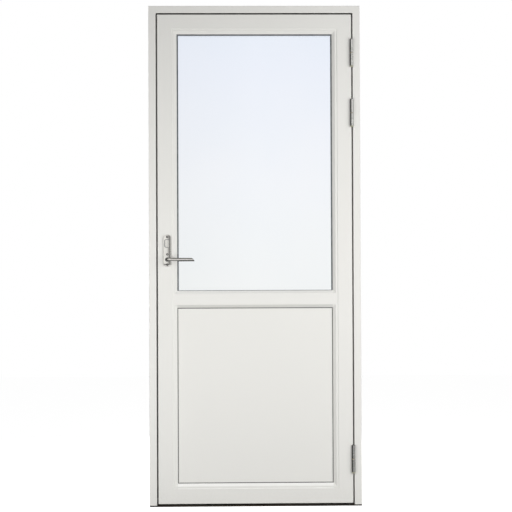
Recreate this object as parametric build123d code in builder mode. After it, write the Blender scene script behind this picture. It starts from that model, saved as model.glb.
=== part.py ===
from build123d import *
import math
import os

os.makedirs("parts", exist_ok=True)

# Balcony door: an outward-opening leaf, glazed above and panelled below, in a timber frame.
# Millimetres. +X runs to the hinge side seen from outside, +Y into the building, +Z up.
# The origin is the middle of the threshold's underside.

# Frame
frame_width = 880.0
frame_height = 2080.0
frame_depth = 115.0
jamb_thickness = 43.0
rebate_depth = 13.0
joint_gap = 6.0  # open joint round the leaf's edges
stop_gap = 7.0  # from the leaf's inner face to the frame's stop
frame_arris = 1.5
comb_thickness = 16.0  # the head's two tongues at each end
timber_clearance = 0.1  # round tongues and tenons

# Threshold
lip_height = 5.8
sill_height = 25.0
sill_arris = 3.0

# Seal in the frame's stop
frame_seal_width = 5.0
frame_seal_proud = 2.0
frame_seal_stem = 3.0
frame_seal_root = 4.0
frame_seal_inset = 1.0  # from the stop's edge

# Screw holes that fix the frame to the wall
fixing_radius = 7.0
fixing_inset = 42.5  # from the frame's outer face
fixing_low = 150.0  # lowest hole above the frame's foot
fixing_high = 180.0  # highest hole below the frame's top
fixing_count = 4

# Leaf
leaf_thickness = 56.0
stile_width = 80.8
top_rail_height = 81.6
middle_rail_height = 70.5
middle_rail_level = 824.0
bottom_rail_height = 83.7
leaf_arris = 1.5
step_depth = 2.0  # the sunk field round both lights
step_run = 2.0
land_width = 8.0
slope_run = 12.0  # the sloping edge of each light
slope_depth = 8.0
lip_thickness = 1.0
glazing_rebate = 16.0
tenon_thickness = 18.0
tenon_length = 45.0
tenon_shoulder = 4.0
tenon_end_shoulder = 12.0  # at the leaf's foot and top
drip_groove = 4.0
drip_inset = 8.0

# Glazing and panel
edge_cover = 12.0  # how far the panes and the panel reach under the timber
pane_thickness = 4.0
pane_space = 16.0
spacer_width = 13.0
glass_seal_thickness = 3.0
glass_seal_show = 6.0
glass_seal_show_bottom = 2.0
panel_seal_thickness = 1.5
panel_seal_show = 3.3
inner_seal_thickness = 2.0
inner_seal_show = 1.5
seal_cover = 10.0
bead_front = 5.0  # thickness of a bead at its thin edge
bead_flat = 6.0  # width of its flat back

# Hinges
hinge_from_bottom = 182.2  # middle of the bottom hinge above the leaf's foot
hinge_from_top = 161.0  # middle of the top hinge below the leaf's top
hinge_pair = 250.0  # from the top hinge down to the middle one
hinge_radius = 7.0
hinge_height = 118.0
hinge_stand_off = 0.5  # between the barrel and the leaf's face
hinge_offset = 1.0  # axis beyond the leaf's edge
hinge_washer = 1.0
hinge_float = 0.1
hinge_pin_radius = 4.5
hinge_pin_clearance = 0.05
hinge_pin_length = 46.0
hinge_cap = 6.0  # solid end above the pin's bore
wing_thickness = 3.0
wing_width = 31.0
wing_corner = 6.0
seat_clearance = 0.1
knuckle_arris = 1.0  # round the outer ends of the barrel

# Handle
handle_backset = 39.5  # spindle from the leaf's latch edge
handle_level = 1024.5
plate_width = 32.0
plate_below = 29.0
plate_above = 102.5
plate_thickness = 9.0
plate_corner = 13.0
plate_crown = 3.2  # bevel round the front of the plate
cover_width = 18.0
cover_height = 32.0
cover_corner = 6.0
cover_level = 67.0  # above the spindle
cover_thickness = 1.6
cover_bevel = 0.8
cover_seat = 0.4
cover_clearance = 0.1
screw_radius = 2.2
screw_head_radius = 4.2
screw_pitch = 43.0  # the two screws that straddle the spindle
screw_top = 93.7  # the upper screw above the spindle
spindle_side = 8.0
spindle_socket = 24.0
spindle_clearance = 0.05
spindle_end_gap = 1.0
spindle_bore = 12.0
neck_radius = 8.5
neck_clearance = 0.1
neck_setback = 4.2  # from the neck's end to the start of the bend
lever_reach = 46.0
lever_length = 113.0
lever_bend = 14.0
lever_radius = 6.4
lever_tip_radius = 5.8
lever_tip_cut = 10.5  # how far the slanting end runs back along the top

# Multi-point lock on the leaf's latch edge
faceplate_width = 20.0
faceplate_thickness = 3.0
faceplate_margin = 120.0  # from the leaf's foot and top
bolt_margin = 245.0  # middles of the end bolts, from the leaf's foot and top
bolt_width = 10.0
bolt_height = 34.0
bolt_depth = 14.0
bolt_clearance = 0.1
strike_width = 25.0
strike_height = 110.0
strike_thickness = 2.5
strike_corner = 5.0
strike_slot_width = 14.0
strike_slot_height = 42.0
strike_pocket_depth = 18.0

# Planes and edges that follow from the sizes above
half_width = frame_width / 2
face_y = -frame_depth / 2
inner_y = frame_depth / 2
leaf_back_y = face_y + leaf_thickness
stop_y = leaf_back_y + stop_gap
rebate_x = half_width - jamb_thickness + rebate_depth
stop_x = half_width - jamb_thickness
rebate_top = frame_height - jamb_thickness + rebate_depth
stop_top = frame_height - jamb_thickness

leaf_x = rebate_x - joint_gap
leaf_top = rebate_top - joint_gap
leaf_bottom = lip_height + joint_gap
sight_x = leaf_x - stile_width
glass_low = middle_rail_level + middle_rail_height
glass_high = leaf_top - top_rail_height
panel_low = leaf_bottom + bottom_rail_height
panel_high = middle_rail_level
field_y = face_y + step_depth
slope_y = field_y + slope_depth
lip_y = slope_y + lip_thickness
glass_y = lip_y + glass_seal_thickness
glass_back_y = glass_y + 2 * pane_thickness + pane_space
bead_y = glass_back_y + inner_seal_thickness
panel_y = lip_y + panel_seal_thickness
panel_back_y = bead_y - inner_seal_thickness
tenon_y = (lip_y + bead_y) / 2

hinge_x = leaf_x + hinge_offset
hinge_y = face_y - hinge_stand_off - hinge_radius
hinge_levels = {
    "bottom": leaf_bottom + hinge_from_bottom,
    "middle": leaf_top - hinge_from_top - hinge_pair,
    "top": leaf_top - hinge_from_top,
}
knuckle_height = (hinge_height - hinge_washer - hinge_float) / 2

# The latch edge is bevelled so that its inner corner swings as close to the jamb as its outer one
swing = hinge_x + leaf_x
latch_bevel = swing - math.sqrt(swing**2 - (leaf_back_y - hinge_y) ** 2)

handle_x = -leaf_x + handle_backset
screw_levels = (-screw_pitch / 2, screw_pitch / 2, screw_top)
bolt_line_y = (face_y + leaf_back_y) / 2
bolt_levels = (leaf_bottom + bolt_margin, handle_level, leaf_top - bolt_margin)
faceplate_low = leaf_bottom + faceplate_margin
faceplate_high = leaf_top - faceplate_margin

fixing_y = face_y + fixing_inset
fixing_pitch = (frame_height - fixing_low - fixing_high) / (fixing_count - 1)
fixing_levels = [fixing_low + i * fixing_pitch for i in range(fixing_count)]

# The head's tongues stand in the middle of the jamb's thin and thick parts
tongues = (
    ((face_y + stop_y) / 2, rebate_top),
    ((stop_y + inner_y) / 2, stop_top),
)


def across(y):
    """Plane across the door at depth y: sketches read X to the right and Z up, and extrude outwards."""
    return Plane(origin=(0, y, 0), x_dir=(1, 0, 0), z_dir=(0, -1, 0))


def rectangle_between(x1, x2, z1, z2, mode=Mode.ADD):
    with Locations(((x1 + x2) / 2, (z1 + z2) / 2)):
        Rectangle(x2 - x1, z2 - z1, mode=mode)


def outlined(low, high, reach, low_reach=None, mode=Mode.ADD):
    """Rectangle of a light, grown by reach on every side, or by low_reach along its bottom."""
    down = reach if low_reach is None else low_reach
    rectangle_between(-sight_x - reach, sight_x + reach, low - down, high + reach, mode=mode)


# Threshold: a low lip under the leaf and a raised sill behind it
with BuildPart() as threshold:
    with BuildSketch(Plane.YZ):
        with BuildLine():
            Polyline(
                (face_y, 0),
                (inner_y, 0),
                (inner_y, sill_height - sill_arris),
                (inner_y - sill_arris, sill_height),
                (stop_y, sill_height),
                (stop_y, lip_height),
                (face_y, lip_height),
                close=True,
            )
        make_face()
    extrude(amount=half_width, both=True)

# The whole frame in one piece, from which the jambs and the head are cut
with BuildPart() as frame_blank:
    with BuildSketch(across(inner_y)):
        rectangle_between(-half_width, half_width, 0, frame_height)
    extrude(amount=frame_depth)
    with BuildSketch(across(stop_y)):
        rectangle_between(-rebate_x, rebate_x, 0, rebate_top)
    extrude(amount=stop_y - face_y, mode=Mode.SUBTRACT)
    with BuildSketch(across(inner_y)):
        rectangle_between(-stop_x, stop_x, 0, stop_top)
    extrude(amount=frame_depth, mode=Mode.SUBTRACT)
    outer_edges = frame_blank.edges().group_by(Axis.Y)[0]
    inner_edges = frame_blank.edges().group_by(Axis.Y)[-1]
    long_edges = (outer_edges + inner_edges).filter_by_position(Axis.Z, lip_height, frame_height)
    fillet(long_edges, frame_arris)

# Seal pressed into a groove all round the frame's stop
seal_x = stop_x + frame_seal_inset
seal_top = stop_top + frame_seal_inset
seal_low = sill_height - frame_seal_inset
root_inset = (frame_seal_width - frame_seal_stem) / 2


def seal_band(inset, width):
    """Closed band round the stop, inset from the seal's inner edge."""
    outer = inset + width
    rectangle_between(-seal_x - outer, seal_x + outer, seal_low - outer, seal_top + outer)
    rectangle_between(
        -seal_x - inset, seal_x + inset, seal_low - inset, seal_top + inset, mode=Mode.SUBTRACT
    )


with BuildPart() as frame_seal:
    with BuildSketch(across(stop_y)):
        seal_band(0, frame_seal_width)
    extrude(amount=frame_seal_proud)
    with BuildSketch(across(stop_y + frame_seal_root)):
        seal_band(root_inset, frame_seal_stem)
    extrude(amount=frame_seal_root)
frame_seal.part.label = "frame_seal"
export_step(frame_seal.part, "parts/frame_seal.step")

with BuildPart() as seal_groove:
    with BuildSketch(across(stop_y + frame_seal_root)):
        seal_band(root_inset, frame_seal_stem)
    extrude(amount=frame_seal_root)

with BuildPart(mode=Mode.PRIVATE) as threshold_grooved:
    add(threshold.part)
    add(seal_groove.part, mode=Mode.SUBTRACT)
threshold_grooved.part.label = "threshold"
export_step(threshold_grooved.part, "parts/threshold.step")

# Head, with two comb tongues through each jamb
with BuildPart() as head:
    with BuildSketch(across(inner_y)):
        rectangle_between(-stop_x, stop_x, stop_top, frame_height)
    extrude(amount=frame_depth)
    with BuildSketch(across(stop_y)):
        rectangle_between(-rebate_x, rebate_x, rebate_top, frame_height)
    extrude(amount=stop_y - face_y)
    for tongue_y, underside in tongues:
        with BuildSketch(across(tongue_y + comb_thickness / 2)):
            rectangle_between(-half_width, half_width, underside + timber_clearance, frame_height)
        extrude(amount=comb_thickness)
    add(frame_blank.part, mode=Mode.INTERSECT)
    add(seal_groove.part, mode=Mode.SUBTRACT)
head.part.label = "head"
export_step(head.part, "parts/head.step")

# Jambs: stepped profile, slotted for the head's tongues and cut over the threshold
with BuildPart() as comb_slots:
    for tongue_y, underside in tongues:
        slot = comb_thickness + 2 * timber_clearance
        with BuildSketch(across(tongue_y + slot / 2)):
            rectangle_between(-half_width, half_width, underside, frame_height)
        extrude(amount=slot)


def wing_outline(clearance=0.0):
    """Wing of a hinge, recessed in the timber, with its two inner corners rounded."""
    height = hinge_height + 2 * clearance
    width = wing_width + clearance
    with BuildSketch(Plane.YZ) as outline:
        with Locations((face_y + width / 2, 0)):
            Rectangle(width, height)
        fillet(outline.vertices().group_by(Axis.X)[-1], wing_corner)
    return outline.sketch


def make_jamb(side):
    with BuildPart() as jamb:
        with BuildSketch(Plane.XY):
            with BuildLine():
                Polyline(
                    (side * rebate_x, face_y),
                    (side * half_width, face_y),
                    (side * half_width, inner_y),
                    (side * stop_x, inner_y),
                    (side * stop_x, stop_y),
                    (side * rebate_x, stop_y),
                    close=True,
                )
            make_face()
        extrude(amount=frame_height)
        add(frame_blank.part, mode=Mode.INTERSECT)
        add(threshold.part, mode=Mode.SUBTRACT)
        add(comb_slots.part, mode=Mode.SUBTRACT)
        add(seal_groove.part, mode=Mode.SUBTRACT)
        for level in fixing_levels:
            with BuildSketch(Plane.YZ.offset(side * half_width)) as hole:
                with Locations((fixing_y, level)):
                    Circle(fixing_radius)
            extrude(hole.sketch, amount=-side * jamb_thickness, mode=Mode.SUBTRACT)
        if side > 0:
            for level in hinge_levels.values():
                pocket = wing_outline(seat_clearance)
                placed = pocket.moved(Location((rebate_x, 0, level)))
                extrude(placed, amount=wing_thickness + seat_clearance, mode=Mode.SUBTRACT)
        else:
            pocket_width = strike_width + 2 * seat_clearance
            pocket_height = strike_height + 2 * seat_clearance
            pocket_depth = strike_thickness + seat_clearance
            for level in bolt_levels:
                with BuildSketch(Plane.YZ.offset(-rebate_x)) as plate_pocket:
                    with Locations((bolt_line_y, level)):
                        Rectangle(pocket_width, pocket_height)
                extrude(plate_pocket.sketch, amount=-pocket_depth, mode=Mode.SUBTRACT)
                with BuildSketch(Plane.YZ.offset(-rebate_x)) as bolt_pocket:
                    with Locations((bolt_line_y, level)):
                        Rectangle(strike_slot_width, strike_slot_height)
                extrude(bolt_pocket.sketch, amount=-strike_pocket_depth, mode=Mode.SUBTRACT)
    return jamb


for name, side in (("jamb_latch", -1), ("jamb_hinge", 1)):
    jamb = make_jamb(side)
    jamb.part.label = name
    export_step(jamb.part, f"parts/{name}.step")

# Strike plates let into the latch jamb, one for each bolt
with BuildPart() as strike_plates:
    for level in bolt_levels:
        with BuildSketch(Plane.YZ.offset(-rebate_x - strike_thickness)):
            with Locations((bolt_line_y, level)):
                RectangleRounded(strike_width, strike_height, strike_corner)
                Rectangle(strike_slot_width, strike_slot_height, mode=Mode.SUBTRACT)
        extrude(amount=strike_thickness)
strike_plates.part.label = "strike_plates"
export_step(strike_plates.part, "parts/strike_plates.step")


# Leaf: the moulded outline in one piece, from which stiles and rails are cut
def light_cut(low, high):
    """Opening of a light: sloping edge, thin lip, then the glazing rebate behind it."""
    with BuildPart() as cut:
        with BuildSketch(across(field_y)):
            outlined(low, high, slope_run)
        with BuildSketch(across(slope_y)):
            outlined(low, high, 0)
        loft()
        with BuildSketch(across(lip_y)):
            outlined(low, high, 0)
        extrude(amount=lip_thickness)
        with BuildSketch(across(leaf_back_y)):
            outlined(low, high, glazing_rebate)
        extrude(amount=leaf_back_y - lip_y)
    return cut.part


field_reach = slope_run + land_width

with BuildPart() as leaf_blank:
    with BuildSketch(Plane.XY.offset(leaf_bottom)):
        with BuildLine():
            Polyline(
                (-leaf_x, face_y),
                (leaf_x, face_y),
                (leaf_x, leaf_back_y),
                (-leaf_x + latch_bevel, leaf_back_y),
                close=True,
            )
        make_face()
    extrude(amount=leaf_top - leaf_bottom)
    leaf_edges = leaf_blank.edges().group_by(Axis.Y)[0] + leaf_blank.edges().group_by(Axis.Y)[-1]
    fillet(leaf_edges, leaf_arris)
    with BuildSketch(across(face_y)):
        outlined(panel_low, glass_high, field_reach + step_run)
    with BuildSketch(across(field_y)):
        outlined(panel_low, glass_high, field_reach)
    loft(mode=Mode.SUBTRACT)
    add(light_cut(glass_low, glass_high), mode=Mode.SUBTRACT)
    add(light_cut(panel_low, panel_high), mode=Mode.SUBTRACT)
    with BuildSketch(Plane.XY.offset(leaf_bottom)):
        with Locations((0, face_y + drip_inset + drip_groove / 2)):
            Rectangle(2 * leaf_x - 2 * drip_inset, drip_groove)
    extrude(amount=drip_groove, mode=Mode.SUBTRACT)

# Rails and the tenons at their ends
rail_bands = {
    "rail_bottom": (leaf_bottom, panel_low),
    "rail_middle": (panel_high, glass_low),
    "rail_top": (glass_high, leaf_top),
}


def tenon_band(name):
    """Lowest and highest level of a rail's tenon, clear of the glazing rebates."""
    low, high = rail_bands[name]
    inner = glazing_rebate + tenon_shoulder
    return (
        low + (tenon_end_shoulder if name == "rail_bottom" else inner),
        high - (tenon_end_shoulder if name == "rail_top" else inner),
    )


for name, (low, high) in rail_bands.items():
    with BuildPart() as rail:
        with BuildSketch(across(leaf_back_y)):
            rectangle_between(-sight_x, sight_x, low, high)
        extrude(amount=leaf_thickness)
        add(leaf_blank.part, mode=Mode.INTERSECT)
        tenon_low, tenon_high = tenon_band(name)
        with BuildSketch(across(tenon_y + tenon_thickness / 2)):
            rectangle_between(-sight_x - tenon_length, sight_x + tenon_length, tenon_low, tenon_high)
        extrude(amount=tenon_thickness)
    rail.part.label = name
    export_step(rail.part, f"parts/{name}.step")

with BuildPart() as mortises:
    for name in rail_bands:
        tenon_low, tenon_high = tenon_band(name)
        with BuildSketch(across(tenon_y + tenon_thickness / 2 + timber_clearance)):
            reach = sight_x + tenon_length + timber_clearance
            rectangle_between(
                -reach, reach, tenon_low - timber_clearance, tenon_high + timber_clearance
            )
        extrude(amount=tenon_thickness + 2 * timber_clearance)

# The latch edge leans with the bevel: local X runs along it into the building, local Y out of it
latch_edge = Plane(
    origin=(-leaf_x + latch_bevel / 2, bolt_line_y, 0),
    x_dir=(latch_bevel, leaf_thickness, 0),
    z_dir=(0, 0, 1),
)


def on_latch_edge(width, depth, low, high):
    """Block sunk into the latch edge by depth, centred on the bolts' line."""
    with BuildPart() as block:
        with BuildSketch(latch_edge.offset(low)):
            Rectangle(width, depth, align=(Align.CENTER, Align.MAX))
        extrude(amount=high - low)
    return block.part


with BuildPart() as stile_latch:
    with BuildSketch(across(leaf_back_y)):
        rectangle_between(-leaf_x, -sight_x, leaf_bottom, leaf_top)
    extrude(amount=leaf_thickness)
    add(leaf_blank.part, mode=Mode.INTERSECT)
    add(mortises.part, mode=Mode.SUBTRACT)
    with BuildSketch(across(leaf_back_y)):
        with Locations((handle_x, handle_level)):
            Circle(spindle_bore)
    extrude(amount=leaf_thickness, mode=Mode.SUBTRACT)
    add(
        on_latch_edge(
            faceplate_width + 2 * seat_clearance,
            faceplate_thickness + seat_clearance,
            faceplate_low - seat_clearance,
            faceplate_high + seat_clearance,
        ),
        mode=Mode.SUBTRACT,
    )
    for level in bolt_levels:
        add(
            on_latch_edge(
                bolt_width + 2 * bolt_clearance,
                bolt_depth + bolt_clearance,
                level - bolt_height / 2 - bolt_clearance,
                level + bolt_height / 2 + bolt_clearance,
            ),
            mode=Mode.SUBTRACT,
        )
stile_latch.part.label = "stile_latch"
export_step(stile_latch.part, "parts/stile_latch.step")

with BuildPart() as stile_hinge:
    with BuildSketch(across(leaf_back_y)):
        rectangle_between(sight_x, leaf_x, leaf_bottom, leaf_top)
    extrude(amount=leaf_thickness)
    add(leaf_blank.part, mode=Mode.INTERSECT)
    add(mortises.part, mode=Mode.SUBTRACT)
    for level in hinge_levels.values():
        pocket = wing_outline(seat_clearance)
        placed = pocket.moved(Location((leaf_x, 0, level)))
        extrude(placed, amount=-wing_thickness - seat_clearance, mode=Mode.SUBTRACT)
stile_hinge.part.label = "stile_hinge"
export_step(stile_hinge.part, "parts/stile_hinge.step")

# Lock faceplate and its drawn-back bolts
with BuildPart() as lock_faceplate:
    add(on_latch_edge(faceplate_width, faceplate_thickness, faceplate_low, faceplate_high))
    for level in bolt_levels:
        add(
            on_latch_edge(
                bolt_width + 2 * bolt_clearance,
                faceplate_thickness,
                level - bolt_height / 2 - bolt_clearance,
                level + bolt_height / 2 + bolt_clearance,
            ),
            mode=Mode.SUBTRACT,
        )
lock_faceplate.part.label = "lock_faceplate"
export_step(lock_faceplate.part, "parts/lock_faceplate.step")

with BuildPart() as lock_bolts:
    for level in bolt_levels:
        add(on_latch_edge(bolt_width, bolt_depth, level - bolt_height / 2, level + bolt_height / 2))
lock_bolts.part.label = "lock_bolts"
export_step(lock_bolts.part, "parts/lock_bolts.step")

# Double glazing unit
for name, front in (("glass_outer", glass_y), ("glass_inner", glass_back_y - pane_thickness)):
    with BuildPart() as pane:
        with BuildSketch(across(front + pane_thickness)):
            outlined(glass_low, glass_high, edge_cover)
        extrude(amount=pane_thickness)
    pane.part.label = name
    export_step(pane.part, f"parts/{name}.step")

with BuildPart() as glass_spacer:
    with BuildSketch(across(glass_y + pane_thickness + pane_space)):
        outlined(glass_low, glass_high, edge_cover)
        outlined(glass_low, glass_high, edge_cover - spacer_width, mode=Mode.SUBTRACT)
    extrude(amount=pane_space)
glass_spacer.part.label = "glass_spacer"
export_step(glass_spacer.part, "parts/glass_spacer.step")

with BuildPart() as glass_seals:
    with BuildSketch(across(glass_y)):
        outlined(glass_low, glass_high, seal_cover)
        outlined(
            glass_low, glass_high, -glass_seal_show, -glass_seal_show_bottom, mode=Mode.SUBTRACT
        )
    extrude(amount=glass_seal_thickness)
    with BuildSketch(across(bead_y)):
        outlined(glass_low, glass_high, seal_cover)
        outlined(glass_low, glass_high, -inner_seal_show, mode=Mode.SUBTRACT)
    extrude(amount=inner_seal_thickness)
glass_seals.part.label = "glass_seals"
export_step(glass_seals.part, "parts/glass_seals.step")

# Lower panel: an insulated flat board
with BuildPart() as lower_panel:
    with BuildSketch(across(panel_back_y)):
        outlined(panel_low, panel_high, edge_cover)
    extrude(amount=panel_back_y - panel_y)
lower_panel.part.label = "lower_panel"
export_step(lower_panel.part, "parts/lower_panel.step")

with BuildPart() as panel_seals:
    with BuildSketch(across(panel_y)):
        outlined(panel_low, panel_high, seal_cover)
        outlined(panel_low, panel_high, -panel_seal_show, mode=Mode.SUBTRACT)
    extrude(amount=panel_seal_thickness)
    with BuildSketch(across(bead_y)):
        outlined(panel_low, panel_high, seal_cover)
        outlined(panel_low, panel_high, -inner_seal_show, mode=Mode.SUBTRACT)
    extrude(amount=inner_seal_thickness)
panel_seals.part.label = "panel_seals"
export_step(panel_seals.part, "parts/panel_seals.step")


# Inside glazing beads, mitred at the corners and sloping towards the light
def make_bead(low, high, edge):
    x = sight_x + glazing_rebate
    bottom = low - glazing_rebate
    top = high + glazing_rebate
    corners = {
        "left": ((-x, bottom), (-x, top), (-sight_x, high), (-sight_x, low)),
        "right": ((x, top), (x, bottom), (sight_x, low), (sight_x, high)),
        "top": ((-x, top), (x, top), (sight_x, high), (-sight_x, high)),
        "bottom": ((x, bottom), (-x, bottom), (-sight_x, low), (sight_x, low)),
    }
    with BuildPart() as bead:
        with BuildSketch(across(leaf_back_y)):
            with BuildLine():
                Polyline(*corners[edge], close=True)
            make_face()
        extrude(amount=leaf_back_y - bead_y)
        with BuildSketch(across(leaf_back_y)):
            outlined(low, high, glazing_rebate - bead_flat)
        with BuildSketch(across(bead_y + bead_front)):
            outlined(low, high, 0)
        loft(mode=Mode.SUBTRACT)
    return bead


for light, low, high in (("glass", glass_low, glass_high), ("panel", panel_low, panel_high)):
    for edge in ("left", "right", "top", "bottom"):
        bead = make_bead(low, high, edge)
        bead.part.label = f"bead_{light}_{edge}"
        export_step(bead.part, f"parts/bead_{light}_{edge}.step")

# Lift-off hinges: the upper knuckle hangs on a pin that stands in the lower one
def make_knuckle(low, high, end):
    """Half of a hinge's barrel, with the arris taken off its outer end: 0 the lower, -1 the upper."""
    with BuildPart() as knuckle:
        with BuildSketch(Plane.XY.offset(low)):
            with Locations((hinge_x, hinge_y)):
                Circle(hinge_radius)
        extrude(amount=high - low)
        chamfer(knuckle.faces().sort_by(Axis.Z)[end].edges(), knuckle_arris)
    return knuckle.part


def make_wing(plate_x, level, neck_low, neck_high):
    """Recessed wing from the plane plate_x towards +X, with a neck out to the barrel."""
    wing = wing_outline()
    neck_start = hinge_y
    neck_end = face_y + wing_width / 2
    with BuildPart() as plate:
        extrude(wing.moved(Location((plate_x, 0, level))), amount=wing_thickness)
        with BuildSketch(Plane.YZ.offset(plate_x)):
            with Locations(((neck_start + neck_end) / 2, (neck_low + neck_high) / 2)):
                Rectangle(neck_end - neck_start, neck_high - neck_low)
        extrude(amount=wing_thickness)
    return plate.part


for place, level in hinge_levels.items():
    barrel_low = level - hinge_height / 2
    barrel_high = level + hinge_height / 2
    lower_top = barrel_low + knuckle_height
    upper_low = barrel_high - knuckle_height
    with BuildPart() as frame_half:
        add(make_knuckle(barrel_low, lower_top, 0))
        add(make_wing(rebate_x, level, barrel_low + knuckle_arris, lower_top))
        with BuildSketch(Plane.XY.offset(lower_top)):
            with Locations((hinge_x, hinge_y)):
                Circle(hinge_pin_radius)
        extrude(amount=hinge_pin_length)
    frame_half.part.label = f"hinge_{place}_frame"
    export_step(frame_half.part, f"parts/hinge_{place}_frame.step")

    with BuildPart() as washer:
        with BuildSketch(Plane.XY.offset(lower_top)):
            with Locations((hinge_x, hinge_y)):
                Circle(hinge_radius)
                Circle(hinge_pin_radius + hinge_pin_clearance, mode=Mode.SUBTRACT)
        extrude(amount=hinge_washer)
    washer.part.label = f"hinge_{place}_washer"
    export_step(washer.part, f"parts/hinge_{place}_washer.step")

    with BuildPart() as leaf_half:
        add(make_knuckle(upper_low, barrel_high, -1))
        add(make_wing(leaf_x - wing_thickness, level, upper_low, barrel_high - knuckle_arris))
        with BuildSketch(Plane.XY.offset(upper_low)):
            with Locations((hinge_x, hinge_y)):
                Circle(hinge_pin_radius + hinge_pin_clearance)
        extrude(amount=knuckle_height - hinge_cap, mode=Mode.SUBTRACT)
    leaf_half.part.label = f"hinge_{place}_leaf"
    export_step(leaf_half.part, f"parts/hinge_{place}_leaf.step")

# Handle furniture: the same on both faces of the leaf
sides = {"outside": (-1, face_y), "inside": (1, leaf_back_y)}


def handle_plane(side, y, lift=0.0):
    """Plane on the leaf's face at the spindle: local Y is up, and it faces away from the leaf."""
    spindle_point = (handle_x, y + side * lift, handle_level)
    return Plane(origin=spindle_point, x_dir=(-side, 0, 0), z_dir=(0, side, 0))


def lever_plane(x, y):
    """Section of the lever's grip at x, facing its tip."""
    return Plane(origin=(x, y, handle_level), x_dir=(0, 1, 0), z_dir=(1, 0, 0))


for place, (side, y) in sides.items():
    plate_middle = (plate_above - plate_below) / 2
    with BuildPart() as plate:
        with BuildSketch(handle_plane(side, y)):
            with Locations((0, plate_middle)):
                RectangleRounded(plate_width, plate_above + plate_below, plate_corner)
        extrude(amount=plate_thickness)
        rim = plate.faces().sort_by(Axis.Y)[0 if side < 0 else -1].edges()
        chamfer(rim, plate_crown)
        with BuildSketch(handle_plane(side, y)):
            Circle(neck_radius + neck_clearance)
        extrude(amount=plate_thickness, mode=Mode.SUBTRACT)
        with BuildSketch(handle_plane(side, y, plate_thickness)):
            with Locations((0, cover_level)):
                RectangleRounded(
                    cover_width + 2 * cover_clearance, cover_height + 2 * cover_clearance, cover_corner
                )
        extrude(amount=-cover_seat, mode=Mode.SUBTRACT)
        with Locations(handle_plane(side, y, plate_thickness)):
            with Locations(*[(0, level, 0) for level in screw_levels]):
                CounterSinkHole(screw_radius, screw_head_radius)
    plate.part.label = f"handle_plate_{place}"
    export_step(plate.part, f"parts/handle_plate_{place}.step")

    with BuildPart() as cover:
        with BuildSketch(handle_plane(side, y, plate_thickness - cover_seat)):
            with Locations((0, cover_level)):
                RectangleRounded(cover_width, cover_height, cover_corner)
        extrude(amount=cover_thickness + cover_seat)
        rim = cover.faces().sort_by(Axis.Y)[0 if side < 0 else -1].edges()
        chamfer(rim, cover_bevel)
    cover.part.label = f"cylinder_cover_{place}"
    export_step(cover.part, f"parts/cylinder_cover_{place}.step")

    start = y + side * neck_clearance
    reach = y + side * lever_reach
    bend_end = handle_x + lever_bend
    tip_x = handle_x + lever_length
    with BuildPart() as lever:
        with BuildSketch(handle_plane(side, y, neck_clearance)):
            Circle(neck_radius)
        extrude(amount=lever_reach - lever_bend - neck_setback - neck_clearance)
        with BuildLine(Plane.XY.offset(handle_level)):
            shank = Line((handle_x, start), (handle_x, reach - side * lever_bend))
            TangentArc(shank @ 1, (bend_end, reach), tangent=shank % 1)
        with BuildSketch(Plane(origin=(handle_x, start, handle_level), z_dir=(0, side, 0))):
            Circle(lever_radius)
        sweep()
        with BuildSketch(lever_plane(bend_end, reach)):
            Circle(lever_radius)
        with BuildSketch(lever_plane(tip_x, reach)):
            Circle(lever_tip_radius)
        loft(ruled=True)
        tip_slant = Plane(
            origin=(tip_x, reach, handle_level - lever_tip_radius),
            z_dir=(2 * lever_tip_radius, 0, lever_tip_cut),
        )
        split(bisect_by=tip_slant, keep=Keep.BOTTOM)
        with BuildSketch(handle_plane(side, y)):
            Rectangle(spindle_side + 2 * spindle_clearance, spindle_side + 2 * spindle_clearance)
        extrude(amount=spindle_socket, mode=Mode.SUBTRACT)
    lever.part.label = f"lever_{place}"
    export_step(lever.part, f"parts/lever_{place}.step")

spindle_reach = spindle_socket - spindle_end_gap

with BuildPart() as spindle:
    with BuildSketch(handle_plane(-1, leaf_back_y, -spindle_reach)):
        Rectangle(spindle_side, spindle_side)
    extrude(amount=leaf_thickness + 2 * spindle_reach)
spindle.part.label = "spindle"
export_step(spindle.part, "parts/spindle.step")
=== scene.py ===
import math

import bmesh
import bpy
from mathutils import Matrix, Vector


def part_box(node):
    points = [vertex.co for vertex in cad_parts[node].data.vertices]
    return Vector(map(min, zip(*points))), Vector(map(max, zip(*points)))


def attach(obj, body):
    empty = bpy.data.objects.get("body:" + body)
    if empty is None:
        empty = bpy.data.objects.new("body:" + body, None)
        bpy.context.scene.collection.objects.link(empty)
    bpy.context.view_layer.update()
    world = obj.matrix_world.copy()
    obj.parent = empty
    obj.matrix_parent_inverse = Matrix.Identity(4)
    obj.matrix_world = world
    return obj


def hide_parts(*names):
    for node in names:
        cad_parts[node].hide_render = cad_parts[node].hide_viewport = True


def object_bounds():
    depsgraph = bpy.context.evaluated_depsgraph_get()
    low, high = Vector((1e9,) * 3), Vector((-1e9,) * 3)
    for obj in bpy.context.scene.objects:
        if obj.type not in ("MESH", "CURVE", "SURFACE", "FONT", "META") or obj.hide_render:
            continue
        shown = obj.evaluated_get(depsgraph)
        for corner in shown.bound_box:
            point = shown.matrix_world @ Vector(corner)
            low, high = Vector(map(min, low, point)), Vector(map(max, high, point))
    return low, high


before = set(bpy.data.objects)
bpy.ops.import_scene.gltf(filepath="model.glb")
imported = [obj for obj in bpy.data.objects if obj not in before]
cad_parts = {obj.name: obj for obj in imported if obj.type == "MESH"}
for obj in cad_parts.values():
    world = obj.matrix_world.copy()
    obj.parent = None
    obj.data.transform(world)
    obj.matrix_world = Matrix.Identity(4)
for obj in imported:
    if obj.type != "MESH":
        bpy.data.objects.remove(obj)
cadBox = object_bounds()
mm = 0.001
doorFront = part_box("head")[0].y
print("frame loaded with", len(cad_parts), "nodes")


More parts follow.
